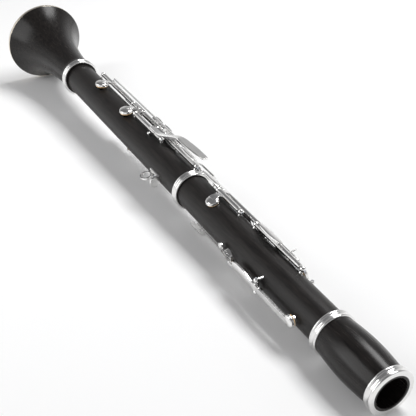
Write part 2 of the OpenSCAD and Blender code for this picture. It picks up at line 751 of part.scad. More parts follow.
module thumb_swing() swing(thumb_rod_az, upper_rod, thumb_open) children();
thumb_reach_az = 360 + thumb_rod_az;
module thumb_ring_key() color(metal) lying() thumb_swing()
    on_rod(thumb_posts[0] + post_gap, thumb_posts[1] - post_gap, thumb_rod_az, upper_rod) {
        finger_ring(thumb_s, thumb_az, upper_r, thumb_ring_r);
        strap(thumb_s, thumb_az + 24, thumb_reach_az, upper_r + 3, upper_r + 3 + arm_t, 7);
        cup_arm(thumb_pad_s, thumb_reach_az, thumb_pad_az, seat_u, thumb_cup_r);
        // Rounded ear on the far side of the ring
        place(thumb_s + 6.5, thumb_az - 26) translate([0, 0, upper_r + 1.1]) cylinder(r = 2.4, h = 1.6);
    }
module thumb_ring_pad() color(pad_tan) lying() thumb_swing()
    pad(thumb_pad_s, thumb_pad_az, seat_u, thumb_cup_r);

module ring_swing() swing(ring_rod_az, upper_rod, ring_open) children();
module first_ring_key() color(metal) lying() ring_swing()
    on_rod(ring_posts[0] + post_gap, ring_posts[1] - post_gap, ring_rod_az, upper_rod) {
        finger_ring(first_s, 0, upper_r, finger_ring_r);
        ring_web(first_s, ring_rod_az, upper_r);
        cup_arm(first_pad_s, ring_rod_az, front_pad_az, seat_u, first_cup_r);
    }
module first_ring_pad() color(pad_tan) lying() ring_swing()
    pad(first_pad_s, front_pad_az, seat_u, first_cup_r);

bridge_az = 16;
bridge_r = middle_ring_r + 0.5;
bridge_w = 4;
module second_ring_key() color(metal) lying() ring_swing()
    on_rod(ring_posts[1] + post_gap, ring_posts[2] - post_gap, ring_rod_az, upper_rod) {
        finger_ring(second_s, 0, upper_r, finger_ring_r);
        ring_web(second_s, ring_rod_az, upper_r);
        cup_arm(second_pad_s, ring_rod_az, front_pad_az, seat_u, cup_r);
        // Half of the bridge to the lower joint
        strap(at_upper(170), bridge_az, ring_rod_az, bridge_r, bridge_r + arm_t, 5);
        bar(at_upper(168), lower_s + 4, bridge_az, bridge_r, bridge_r + touch_t, bridge_w);
    }
module second_ring_pad() color(pad_tan) lying() ring_swing()
    pad(second_pad_s, front_pad_az, seat_u, cup_r);

// Side key k: a long lever rocking in its saddle
module side_key(k) {
    bend_s = k[2] - side_touch_len;
    on_pivot(side_pivot_s, k[1], side_rod, side_bar_w / 2) {
        bar(k[0] - 1.6, bend_s + 2, k[1], side_bar_r, side_bar_r + touch_t, side_bar_w);
        bar(k[0] - 1.6, k[0] + 1.6, k[1], seat_u + cup_h - 0.4, side_bar_r + 0.5, side_bar_w);
        bar(bend_s, bend_s + 2, k[1], side_bar_r, k[3] + touch_t, side_bar_w);
        touch(bend_s, k[2], k[1], k[3], side_touch_w, side_bar_w + 0.6, 0.2);
        cup(k[0], k[1], seat_u, small_cup_r);
    }
}
module side_pad(k) pad(k[0], k[1], seat_u, small_cup_r);
module upper_trill_key() color(metal) lying() side_key(side_keys[0]);
module upper_trill_pad() color(pad_tan) lying() side_pad(side_keys[0]);
module lower_trill_key() color(metal) lying() side_key(side_keys[1]);
module lower_trill_pad() color(pad_tan) lying() side_pad(side_keys[1]);
module side_f_sharp_key() color(metal) lying() side_key(side_keys[2]);
module side_f_sharp_pad() color(pad_tan) lying() side_pad(side_keys[2]);
module side_b_flat_key() color(metal) lying() side_key(side_keys[3]);
module side_b_flat_pad() color(pad_tan) lying() side_pad(side_keys[3]);

c_touch_az = c_rod_az - 7.5;
c_touch_r = upper_rod + 1.1;
module c_sharp_key() color(metal) lying()
    on_rod(c_posts[0] + post_gap, c_posts[1] - post_gap, c_rod_az, upper_rod) {
        cup_arm(c_pad_s, c_rod_az, c_pad_az, seat_u, cup_r, 5, 1.5);
        strap(at_upper(154), c_touch_az - 6, c_rod_az, c_touch_r - 0.6, c_touch_r + touch_t, 5);
        bar(at_upper(152), at_upper(168), c_touch_az - 4.5, c_touch_r - 0.6, c_touch_r + touch_t, 2.4);
        touch(at_upper(163), lower_s - 1, c_touch_az, c_touch_r, 5, 5, 0.2);
    }
module c_sharp_pad() color(pad_tan) lying() pad(c_pad_s, c_pad_az, seat_u, cup_r);

module left_sliver_key() color(metal) lying()
    on_rod(sliver_posts[0] + post_gap, sliver_posts[1] - post_gap, sliver_rod_az, upper_rod) {
        cup_arm(sliver_s, sliver_rod_az, sliver_pad_az, seat_u, small_cup_r);
        plate(sliver_s, -12, upper_rod + 1, 6.2, 8.5, 2.5);
        strap(sliver_s, sliver_rod_az, -20, upper_rod + 0.8, upper_rod + 0.8 + touch_t, 4);
    }
module left_sliver_pad() color(pad_tan) lying() pad(sliver_s, sliver_pad_az, seat_u, small_cup_r);

// ---- Keys of the lower joint --------------------------------------------------------------

lug_r = bridge_r + touch_t + 0.4;
module right_ring_swing() swing(low_ring_rod_az, lower_rod, ring_open) children();
module right_ring_key() color(metal) lying() right_ring_swing()
    on_rod(low_ring_posts[0] + post_gap, low_ring_posts[1] - post_gap, low_ring_rod_az, lower_rod) {
        for (s = right_s) {
            finger_ring(s, 0, lower_r, finger_ring_r);
            ring_web(s, low_ring_rod_az, lower_r);
        }
        cup_arm(right_pad_s, low_ring_rod_az, 0, seat_l, right_cup_r);
        // Other half of the bridge, lying over the upper joint's
        strap(lower_s + 16, bridge_az, low_ring_rod_az, lug_r, lug_r + touch_t, 4);
        bar(lower_s - 3, lower_s + 18, bridge_az, lug_r, lug_r + touch_t, bridge_w);
    }
module right_ring_pad() color(pad_tan) lying() right_ring_swing() pad(right_pad_s, 0, seat_l, right_cup_r);

module right_sliver_key() color(metal) lying()
    on_rod(low_sliver_posts[0] + post_gap, low_sliver_posts[1] - post_gap, low_sliver_rod_az, lower_rod) {
        cup_arm(low_sliver_s, low_sliver_rod_az, low_sliver_pad_az, seat_l, small_cup_r);
        plate(low_sliver_s, -22, lower_rod + 1, 6.2, 8.5, 2.5);
        strap(low_sliver_s, low_sliver_rod_az, -30, lower_rod + 0.8, lower_rod + 0.8 + touch_t, 4);
    }
module right_sliver_pad() color(pad_tan) lying() pad(low_sliver_s, low_sliver_pad_az, seat_l, small_cup_r);

// Little finger plates of the right hand: a row of two above a row of two
row_a_s = at_lower(94);
row_b_s = at_lower(111.5);
finger_plate = [14.6, 10, 3.4];
outer_az = -36;
inner_az = -9;
e_flat_plate_r = lower_rod + 5.6;
f_plate_r = lower_rod + 4;
rocker_plate_r = lower_rod + 5.2;

module e_flat_key() color(metal) lying()
    on_rod(right_posts[0] + post_gap, right_posts[1] - post_gap, right_rod_az, lower_rod) {
        cup_arm(e_flat_s, right_rod_az, e_flat_az, seat_l, big_cup_r);
        strap(row_a_s, right_rod_az, outer_az, lower_rod + 1.4, lower_rod + 2.9, arm_w);
        bar(row_a_s - 3, row_a_s + 3, outer_az - 1, lower_rod + 1.4, e_flat_plate_r + 0.4, 5);
        plate(row_a_s, outer_az, e_flat_plate_r, finger_plate[0], finger_plate[1], finger_plate[2]);
    }
module e_flat_pad() color(pad_tan) lying() pad(e_flat_s, e_flat_az, seat_l, big_cup_r);

module right_swing() swing(right_rod_az, lower_rod, -f_open) children();
module f_key() color(metal) lying() right_swing()
    on_rod(right_posts[1] + post_gap, right_posts[2] - post_gap, right_rod_az, lower_rod) {
        cup_arm(f_s, right_rod_az, f_az, seat_l, big_cup_r);
        strap(row_b_s + 13, right_rod_az, outer_az, lower_rod + 1.4, lower_rod + 2.9, arm_w);
        bar(row_b_s + 3, row_b_s + 14.8, outer_az - 1, lower_rod + 1.4, f_plate_r + 0.4, 4);
        plate(row_b_s, outer_az, f_plate_r, finger_plate[0], finger_plate[1], finger_plate[2]);
    }
module f_pad() color(pad_tan) lying() right_swing() pad(f_s, f_az, seat_l, big_cup_r);

// Lugs by which rockers and levers move the two left-hand pads' keys
lift_r = lower_rod - 0.2;
lift_az = 22;
push_r = lower_rod + 3.3;
f_push_az = 58.5;
e_push_az = 45.5;

module left_swing(angle) swing(left_rod_az, lower_rod, -angle) children();
module f_sharp_key() color(metal) lying() left_swing(f_sharp_open)
    on_rod(left_posts[0] + post_gap, left_posts[1] - post_gap, left_rod_az, lower_rod) {
        cup_arm(f_sharp_s, left_rod_az, f_sharp_az, seat_l, big_cup_r, 4.6);
        bar(f_sharp_s - 1.8, f_sharp_s + 1.8, f_push_az, seat_l + cup_h, push_r, 2.4);
        strap(at_lower(91), lift_az - 2.5, left_rod_az, lift_r, lift_r + touch_t, 4);
    }
module f_sharp_pad() color(pad_tan) lying() left_swing(f_sharp_open) pad(f_sharp_s, f_sharp_az, seat_l, big_cup_r);

module e_key() color(metal) lying() left_swing(e_open)
    on_rod(left_posts[1] + post_gap, left_posts[2] - post_gap, left_rod_az, lower_rod) {
        cup_arm(e_s, left_rod_az, e_az, seat_l, big_cup_r, 4.6);
        bar(e_s - 1.8, e_s + 1.8, e_push_az, seat_l + cup_h, push_r, 3);
        strap(at_lower(145), lift_az - 2.5, left_rod_az, lift_r, lift_r + touch_t, 4);
        bar(at_lower(131), at_lower(147), lift_az, lift_r, lift_r + touch_t, 2.2);
    }
module e_pad() color(pad_tan) lying() left_swing(e_open) pad(e_s, e_az, seat_l, big_cup_r);

module rocker_swing() swing(rocker_rod_az, lower_rod, rocker_open) children();
rocker_split = row_a_s + (row_b_s - row_a_s) / 2;
// Rocker: plate on one side of its rod, a finger under a lug on the other
module rocker(s_a, s_b, plate_s, finger_s)
    on_rod(s_a, s_b, rocker_rod_az, lower_rod) {
        bar(plate_s - 3, plate_s + 3, rocker_rod_az - 4, lower_rod + 1.2, rocker_plate_r, 3);
        bar(plate_s - 3, plate_s + 3, inner_az + 9, rocker_plate_r - 1.3, rocker_plate_r + 0.3, 7);
        plate(plate_s, inner_az, rocker_plate_r, finger_plate[0], finger_plate[1], finger_plate[2]);
        strap(finger_s, rocker_rod_az, lift_az + 2.5, lift_r - contact_gap - arm_t, lift_r - contact_gap, 4);
    }
module right_f_sharp_rocker() color(metal) lying() rocker_swing()
    rocker(rocker_posts[0] + post_gap, rocker_split - end_play / 2, row_a_s, at_lower(91));
module right_e_rocker() color(metal) lying() rocker_swing()
    rocker(rocker_split + end_play / 2, rocker_posts[1] - post_gap, row_b_s, at_lower(133));

// Left hand's lever for the F sharp: a long touch that swerves off its tube
module lever_swing() swing(lever_rod_az, lower_rod, lever_open) children();
lever_ref_az = 59;
lever_tip_s = at_lower(5.5);
lever_bend = [at_lower(68), at_lower(44)];
lever_rise = [lower_rod + 1.3, lower_rod + 5.6, lower_rod + 6.2];
function smooth(t) = t < 0 ? 0 : t > 1 ? 1 : t * t * (3 - 2 * t);
// Sideways place of the lever's middle, its half width and its height, by station
function lever_side(s) = let (q = smooth((lever_bend[0] - s) / (lever_bend[0] - lever_bend[1])))
    4 - 9.6 * q - 1.6 * max(0, (lever_bend[1] - s) / (lever_bend[1] - lever_tip_s));
function lever_half(s) = let (q = (lever_bend[1] - s) / (lever_bend[1] - lever_tip_s))
    s > lever_bend[0] ? 2 : q < 0 ? 2.2 : 2.2 + 1.3 * sin(180 * min(1, 0.15 + 0.8 * q));
function lever_height(s) = s > lever_bend[0] ? lever_rise[0] : s > lever_bend[1]
    ? lever_rise[0] + (lever_rise[1] - lever_rise[0]) * smooth((lever_bend[0] - s) / (lever_bend[0] - lever_bend[1]))
    : lever_rise[1] + (lever_rise[2] - lever_rise[1]) * (lever_bend[1] - s) / (lever_bend[1] - lever_tip_s);
lever_steps = 26;
function lever_s(i) = lever_tip_s + (at_lower(80) - lever_tip_s) * i / lever_steps;
module left_f_sharp_lever() color(metal) lying() lever_swing()
    on_rod(lever_posts[0] + post_gap, lever_posts[1] - post_gap, lever_rod_az, lower_rod) {
        intersection() {
            place(0, lever_ref_az) linear_extrude(height = 40) polygon(concat(
                [for (i = [0:lever_steps]) [-lever_s(i), -lever_side(lever_s(i)) - lever_half(lever_s(i))]],
                [for (i = [lever_steps:-1:0]) [-lever_s(i), -lever_side(lever_s(i)) + lever_half(lever_s(i))]]));
            place(0, lever_ref_az) translate([0, 30, 0]) rotate([90, 0, 0]) linear_extrude(height = 60)
                polygon(concat(
                    [for (i = [0:lever_steps]) [-lever_s(i), lever_height(lever_s(i))]],
                    [for (i = [lever_steps:-1:0]) [-lever_s(i), lever_height(lever_s(i)) + touch_t]]));
        }
        // Finger that reaches past the post to the key's lug
        bar(lever_posts[1] - 9, lever_posts[1] - post_gap, lever_rod_az - 5, lower_rod + 1, push_r + contact_gap + 0.5, 3);
        strap(lever_posts[1] - 6.5, f_push_az, lever_rod_az - 3, push_r + contact_gap, push_r + contact_gap + touch_t, 5);
        bar(lever_posts[1] - 9, f_sharp_s + 1.6, f_push_az, push_r + contact_gap, push_r + contact_gap + touch_t, 2.4);
    }

// Left hand's lever for the E: a bar that lies over both joints of the left rod
module left_lever_swing() swing(left_rod_az, lower_rod, -e_open) children();
e_touch_az = 66;
module left_e_lever() color(metal) lying() left_lever_swing()
    on_rod(e_lever_posts[0] + post_gap, e_lever_posts[1] - post_gap, left_rod_az, lower_rod) {
        bar(at_lower(56), at_lower(64), left_rod_az + 3, lower_rod + 1, lower_rod + 3.9, 3.4);
        strap(at_lower(60), left_rod_az + 3, e_push_az + 3, lower_tube_top + 0.5, lower_tube_top + 1.8, 6);
        bar(at_lower(58), e_s + 1.8, e_push_az, push_r + contact_gap, push_r + contact_gap + touch_t, 2.8);
        bar(at_lower(29), at_lower(62), e_push_az - 2, lower_tube_top + 0.5, lower_tube_top + 1.8, 3);
        strap(at_lower(30.5), e_push_az - 4, e_touch_az, lower_tube_top + 0.5, lower_tube_top + 1.8, 4);
        touch(at_lower(9), at_lower(32), e_touch_az, lower_tube_top + 1.4, 4.4, 5.6, 0.2);
    }

lower_joint();
lower_socket_ring();
bell_tenon_cork();
thumb_rest();
thumb_rest_screws();
lower_posts();
lower_rods();
lower_needle_springs();
bell();
bell_mouth_ring();
bell_socket_ring();
upper_joint();
upper_tenon_corks();
register_vent();
thumb_tube();
upper_posts();
upper_rods();
upper_needle_springs();
barrel();
barrel_rings();
register_key();
register_pad();
a_key();
a_pad();
g_sharp_key();
g_sharp_pad();
thumb_ring_key();
thumb_ring_pad();
first_ring_key();
first_ring_pad();
second_ring_key();
second_ring_pad();
upper_trill_key();
upper_trill_pad();
lower_trill_key();
lower_trill_pad();
side_f_sharp_key();
side_f_sharp_pad();
side_b_flat_key();
side_b_flat_pad();
c_sharp_key();
c_sharp_pad();
left_sliver_key();
left_sliver_pad();
right_ring_key();
right_ring_pad();
right_sliver_key();
right_sliver_pad();
e_flat_key();
e_flat_pad();
f_key();
f_pad();
f_sharp_key();
f_sharp_pad();
e_key();
e_pad();
left_f_sharp_lever();
left_e_lever();
right_f_sharp_rocker();
right_e_rocker();
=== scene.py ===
"""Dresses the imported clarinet: turned wood and rings, key cups, touchpieces, finishes and stage."""

import json
import math

import bmesh
import bpy
from bpy.props import FloatProperty, FloatVectorProperty, IntProperty, PointerProperty
from mathutils import Matrix, Vector

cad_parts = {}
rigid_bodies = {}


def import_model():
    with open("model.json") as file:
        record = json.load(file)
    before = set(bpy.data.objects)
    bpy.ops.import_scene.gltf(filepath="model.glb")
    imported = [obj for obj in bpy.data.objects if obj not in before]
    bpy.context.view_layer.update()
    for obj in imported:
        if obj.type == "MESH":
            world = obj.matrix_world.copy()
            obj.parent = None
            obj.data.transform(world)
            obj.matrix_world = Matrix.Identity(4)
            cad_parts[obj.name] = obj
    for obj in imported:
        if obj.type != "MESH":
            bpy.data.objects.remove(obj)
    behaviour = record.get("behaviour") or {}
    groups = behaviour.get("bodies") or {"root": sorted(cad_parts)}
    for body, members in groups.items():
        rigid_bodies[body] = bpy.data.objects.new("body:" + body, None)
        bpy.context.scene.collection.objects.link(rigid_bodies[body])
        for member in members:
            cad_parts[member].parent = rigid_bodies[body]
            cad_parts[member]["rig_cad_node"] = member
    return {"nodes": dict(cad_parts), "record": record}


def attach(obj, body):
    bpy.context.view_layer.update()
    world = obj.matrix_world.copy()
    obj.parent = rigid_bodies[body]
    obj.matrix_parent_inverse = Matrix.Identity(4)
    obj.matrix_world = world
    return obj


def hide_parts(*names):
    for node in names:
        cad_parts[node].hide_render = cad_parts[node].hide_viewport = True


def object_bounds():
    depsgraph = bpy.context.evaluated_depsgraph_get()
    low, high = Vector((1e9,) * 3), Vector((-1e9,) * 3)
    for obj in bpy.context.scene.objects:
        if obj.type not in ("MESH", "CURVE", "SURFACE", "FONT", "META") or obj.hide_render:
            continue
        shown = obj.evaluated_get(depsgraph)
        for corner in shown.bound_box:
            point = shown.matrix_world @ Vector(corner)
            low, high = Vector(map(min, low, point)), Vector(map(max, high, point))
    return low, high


bl_info = {
    "name": "Clarinet dresser",
    "version": (1, 0, 0),
    "blender": (4, 5, 0),
    "location": "View3D > Sidebar > Clarinet",
    "description": "Builds the turned wood, rings, key cups and finishes of a clarinet on its CAD frame",
    "category": "Object",
}

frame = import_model()
CAD_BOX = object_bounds()

MM = 0.001

# Sizes of the frame, in millimetres: stations run along the bore from the barrel's mouth
UPPER_S, LOWER_S, BELL_S, END_S = 65.0, 254.5, 489.5, 595.0
UPPER_R, LOWER_R = 14.1, 14.3
UPPER_ROD, LOWER_ROD = UPPER_R + 3.7, LOWER_R + 3.7
BORE_R = 7.3
SOCKET_R = 11.4
MOUTH_SOCKET_R = 11.7
BELL_SOCKET_R = 12.0
RING_LEN, RING_WALL = 6.6, 1.5
MOUTH_RING_R, BARREL_RING_R, MIDDLE_RING_R, BELL_RING_R = 17.1, 16.9, 16.5, 17.8
BELL_MOUTH_R, BELL_WALL, BELL_RIM = 39.2, 3.4, 4.2
ROLL = 78.0
TILT = math.degrees(math.asin((BELL_MOUTH_R - MOUTH_RING_R) / END_S))
SHUT_GAP, CUP_H, SKIRT = 0.08, 3.3, 1.1
SEAT_U = math.sqrt(UPPER_R**2 - 3.9**2)
SEAT_L = math.sqrt(LOWER_R**2 - 3.9**2)

LYING = (
    Matrix.Scale(MM, 4)
    @ Matrix.Rotation(math.radians(TILT), 4, "Y")
    @ Matrix.Rotation(math.radians(-ROLL), 4, "X")
)


def place(s, az):
    """At a station and azimuth: Z points out of the bore, X towards the barrel."""
    return LYING @ Matrix.Translation((-s, 0, 0)) @ Matrix.Rotation(math.radians(az), 4, "X")


def swung(az, r, angle):
    """Turned about a rod that runs along the bore; goes before place()."""
    turn = Matrix.Rotation(math.radians(az), 4, "X")
    up = Matrix.Translation((0, 0, r))
    inner = turn @ up @ Matrix.Rotation(math.radians(angle), 4, "X") @ up.inverted() @ turn.inverted()
    return LYING @ inner @ LYING.inverted()


class WoodLook(bpy.types.PropertyGroup):
    """Finish of the black wood."""

    colour: FloatVectorProperty(
        name="Wood colour", description="Base colour of the wood", default=(0.012, 0.011, 0.011), subtype="COLOR"
    )
    satin: FloatProperty(
        name="Satin", description="Roughness of the joints' oiled wood", default=0.36, min=0.1, max=0.8,
        subtype="FACTOR",
    )
    polish: FloatProperty(
        name="Polish", description="Roughness of the barrel's and bell's wood", default=0.24, min=0.05, max=0.8,
        subtype="FACTOR",
    )


class MetalLook(bpy.types.PropertyGroup):
    """Finish of the keywork."""

    silver: FloatVectorProperty(
        name="Silver", description="Colour of the plated keys", default=(0.87, 0.865, 0.855), subtype="COLOR"
    )
    champagne: FloatVectorProperty(
        name="Champagne", description="Colour of the bell's mouth ring", default=(0.88, 0.81, 0.70), subtype="COLOR"
    )
    gloss: FloatProperty(
        name="Key gloss", description="Roughness of the plating", default=0.13, min=0.02, max=0.6, subtype="FACTOR"
    )
    edge: FloatProperty(
        name="Soft edge", description="Radius that the keys' edges seem to have", default=0.00028, unit="LENGTH"
    )


class PieceSizes(bpy.types.PropertyGroup):
    """Sizes of the pieces that are added or refined."""

    dome: FloatProperty(
        name="Cup dome", description="Height of the dome above a pad cup's shoulder, mm", default=1.5, min=0.6, max=2
    )
    hollow: FloatProperty(
        name="Ring hollow", description="Depth of the hollow between a ring's beads, mm", default=0.9, min=0.2, max=1.2
    )
    crown: FloatProperty(
        name="Touch crown", description="Height of the crown on the touchpieces, mm", default=0.45, min=0.1, max=0.9
    )
    facets: IntProperty(
        name="Turning steps", description="Steps round a turned piece", default=128, min=48, max=192
    )


class StageLook(bpy.types.PropertyGroup):
    """Floor, lamps and camera."""

    floor: FloatVectorProperty(
        name="Floor", description="Colour of the floor", default=(0.97, 0.97, 0.97), subtype="COLOR"
    )
    key_power: FloatProperty(name="Key lamp", description="Power of the key lamp", default=15.0, unit="POWER")
    fill_power: FloatProperty(name="Fill lamp", description="Power of the fill lamp", default=4.0, unit="POWER")
    sky: FloatProperty(name="Sky", description="Strength of the world", default=0.85, min=0, max=2)
    focal: FloatProperty(name="Focal length", description="Camera lens, mm", default=79.43, min=20, max=200)


# ---- Materials ------------------------------------------------------------------------------------


class Finish:
    """A node material under construction."""

    def __init__(self, name):
        self.material = bpy.data.materials.new(name)
        self.material.use_nodes = True
        self.tree = self.material.node_tree
        self.tree.nodes.clear()
        self.out = self.add("ShaderNodeOutputMaterial")
        self.shader = self.add("ShaderNodeBsdfPrincipled")
        self.link(self.shader, "BSDF", self.out, "Surface")
        self.where = self.add("ShaderNodeTexCoord")

    def add(self, kind, **values):
        node = self.tree.nodes.new(kind)
        for key, value in values.items():
            setattr(node, key, value)
        return node

    def link(self, a, out, b, inp):
        self.tree.links.new(a.outputs[out], b.inputs[inp])

    def set(self, **values):
        for key, value in values.items():
            self.shader.inputs[key.replace("_", " ")].default_value = value

    def mapped(self, scale=(1, 1, 1), turn=(0, 0, 0)):
        node = self.add("ShaderNodeMapping")
        node.inputs["Scale"].default_value = scale
        node.inputs["Rotation"].default_value = turn
        self.link(self.where, "Object", node, "Vector")
        return node

    def noise(self, mapping, scale, detail=4.0, rough=0.55, distortion=0.0):
        node = self.add("ShaderNodeTexNoise")
        node.inputs["Scale"].default_value = scale
        node.inputs["Detail"].default_value = detail
        node.inputs["Roughness"].default_value = rough
        node.inputs["Distortion"].default_value = distortion
        self.link(mapping, "Vector", node, "Vector")
        return node

    def ramp(self, source, out, low, high, positions=(0.3, 0.7)):
        node = self.add("ShaderNodeValToRGB")
        ends = node.color_ramp.elements
        ends[0].position, ends[1].position = positions
        ends[0].color, ends[1].color = low, high
        self.link(source, out, node, "Fac")
        return node

    def range(self, source, out, low, high):
        node = self.add("ShaderNodeMapRange")
        node.inputs["From Min"].default_value = 0.3
        node.inputs["From Max"].default_value = 0.7
        node.inputs["To Min"].default_value = low
        node.inputs["To Max"].default_value = high
        self.link(source, out, node, "Value")
        return node

    def bump(self, height, out, strength, distance, normal=None):
        node = self.add("ShaderNodeBump")
        node.inputs["Strength"].default_value = strength
        node.inputs["Distance"].default_value = distance
        self.link(height, out, node, "Height")
        if normal:
            self.link(normal, "Normal", node, "Normal")
        self.link(node, "Normal", self.shader, "Normal")
        return node


def wood_finish(name, look, rough, tint=1.0):
    """Oiled black wood: fine pores and streaks that run along the bore."""
    f = Finish(name)
    along = f.mapped((6, 60, 60), (0, math.radians(-TILT), 0))
    fine = f.mapped((14, 420, 420), (0, math.radians(-TILT), 0))
    streak = f.noise(along, 9, 6, 0.6, 0.3)
    pore = f.noise(fine, 11, 3, 0.7)
    base = Vector(look.colour) * tint
    colour = f.ramp(streak, "Fac", (*(base * 0.7), 1), (*(base * 1.55 + Vector((0.003, 0.0015, 0.0))), 1))
    f.link(colour, "Color", f.shader, "Base Color")
    gloss = f.range(streak, "Fac", rough - 0.035, rough + 0.05)
    f.link(gloss, "Result", f.shader, "Roughness")
    f.bump(pore, "Fac", 0.10, 0.00008)
    f.set(Specular_IOR_Level=0.24)
    return f.material


def metal_finish(name, colour, rough, edge=0.0, dull=0.10, scratch=0.05):
    """Plated metal: faint clouding, hairline scratches and softened edges."""
    f = Finish(name)
    cloud = f.noise(f.mapped((1, 1, 1)), 90, 5, 0.6, 0.4)
    hair = f.noise(f.mapped((60, 900, 900)), 5, 2, 0.5, 0.2)
    base = Vector(colour)
    tone = f.ramp(cloud, "Fac", (*(base * 0.93), 1), (*base, 1))
    f.link(tone, "Color", f.shader, "Base Color")
    gloss = f.range(cloud, "Fac", rough, rough + dull)
    f.link(gloss, "Result", f.shader, "Roughness")
    round_edge = None
    if edge:
        round_edge = f.add("ShaderNodeBevel", samples=4)
        round_edge.inputs["Radius"].default_value = edge
    f.bump(hair, "Fac", scratch, 0.00003, round_edge)
    f.set(Metallic=1.0)
    return f.material


def cork_finish():
    f = Finish("sanded_cork")
    cells = f.add("ShaderNodeTexVoronoi")
    cells.inputs["Scale"].default_value = 900
    f.link(f.mapped(), "Vector", cells, "Vector")
    flecks = f.noise(f.mapped(), 260, 5, 0.65)
    colour = f.ramp(flecks, "Fac", (0.30, 0.16, 0.07, 1), (0.62, 0.42, 0.24, 1), (0.35, 0.6))
    f.link(colour, "Color", f.shader, "Base Color")
    f.bump(cells, "Distance", 0.35, 0.0002)
    f.set(Roughness=0.85)
    return f.material


def pad_finish():
    f = Finish("tan_pad_skin")
    wrinkle = f.noise(f.mapped(), 900, 4, 0.6, 0.8)
    stain = f.noise(f.mapped(), 160, 3, 0.5)
    colour = f.ramp(stain, "Fac", (0.60, 0.36, 0.15, 1), (0.82, 0.60, 0.34, 1))
    f.link(colour, "Color", f.shader, "Base Color")
    f.bump(wrinkle, "Fac", 0.3, 0.0001)
    f.set(Roughness=0.55, Sheen_Weight=0.15)
    return f.material


FINISHES = {}


def finish(obj, name):
    """Gives an object one of the finishes."""
    obj.data.materials.clear()
    obj.data.materials.append(FINISHES[name])


# ---- Mesh helpers ---------------------------------------------------------------------------------


def settle(name, bm, body, look, stands_for=(), angle=35.0):
    """Makes the mesh an object at the origin, smooth but for its corners, and hangs it on its body."""
    bmesh.ops.remove_doubles(bm, verts=bm.verts, dist=1e-6)
    bmesh.ops.recalc_face_normals(bm, faces=bm.faces)
    mesh = bpy.data.meshes.new(name)
    bm.to_mesh(mesh)
    bm.free()
    mesh.polygons.foreach_set("use_smooth", [True] * len(mesh.polygons))
    mesh.set_sharp_from_angle(angle=math.radians(angle))
    obj = bpy.data.objects.new(name, mesh)
    bpy.context.scene.collection.objects.link(obj)
    finish(obj, look)
    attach(obj, body)
    if stands_for:
        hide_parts(*stands_for)
    return obj


def turn_profile(bm, points, matrix, steps, closed=True):
    """Spins a profile of (radius, height) about Z, then moves it by the matrix."""
    verts = [bm.verts.new((r, 0, z)) for r, z in points]
    pairs = list(zip(verts, verts[1:]))
    if closed:
        pairs.append((verts[-1], verts[0]))
    edges = [bm.edges.new(p) for p in pairs]
    bmesh.ops.spin(
        bm, geom=verts + edges, cent=(0, 0, 0), axis=(0, 0, 1), angle=2 * math.pi, steps=steps, use_merge=True
    )
    shell = {v for v in verts}
    todo = list(verts)
    while todo:
        for e in todo.pop().link_edges:
            for v in e.verts:
                if v not in shell:
                    shell.add(v)
                    todo.append(v)
    bmesh.ops.remove_doubles(bm, verts=list(shell), dist=1e-5)
    shell = [v for v in shell if v.is_valid]
    bmesh.ops.transform(bm, matrix=matrix, verts=shell)
    return shell


def add_to(bm, part):
    """Joins a part's mesh to another, and frees the part."""
    mesh = bpy.data.meshes.new("part")
    part.to_mesh(mesh)
    part.free()
    bm.from_mesh(mesh)
    bpy.data.meshes.remove(mesh)


# Turned about the bore: height runs from the barrel's mouth towards the bell
ALONG = LYING @ Matrix.Rotation(math.radians(-90), 4, "Y")


def ease(t, k):
    return (math.exp(k * t) - 1) / (math.exp(k) - 1)


def arc(cx, cz, r, a0, a1, n=6):
    """Points on an arc, for rounding the corners of a profile; angles in degrees."""
    turns = [math.radians(a0 + (a1 - a0) * i / n) for i in range(n + 1)]
    return [(cx + r * math.cos(a), cz + r * math.sin(a)) for a in turns]


def ring_profile(s, radius, hollow, inner):
    """Joint ring: a bead at each end and a hollow between, both edges rounded."""
    mid = s + RING_LEN / 2
    steps = [(-3.3, 0.95), (-3.2, 0.55), (-2.95, 0.2), (-2.5, 0.03), (-2.1, 0.0), (-1.75, 0.08), (-1.5, 0.3),
             (-1.3, 0.62), (-1.0, 0.86), (-0.5, 0.97), (0.0, 1.0)]
    half = [(radius - hollow * f, mid + z) for z, f in steps]
    other = [(r, 2 * mid - z) for r, z in reversed(half[:-1])]
    return [(inner, s)] + half + other + [(inner, s + RING_LEN)]


# ---- Pieces ---------------------------------------------------------------------------------------


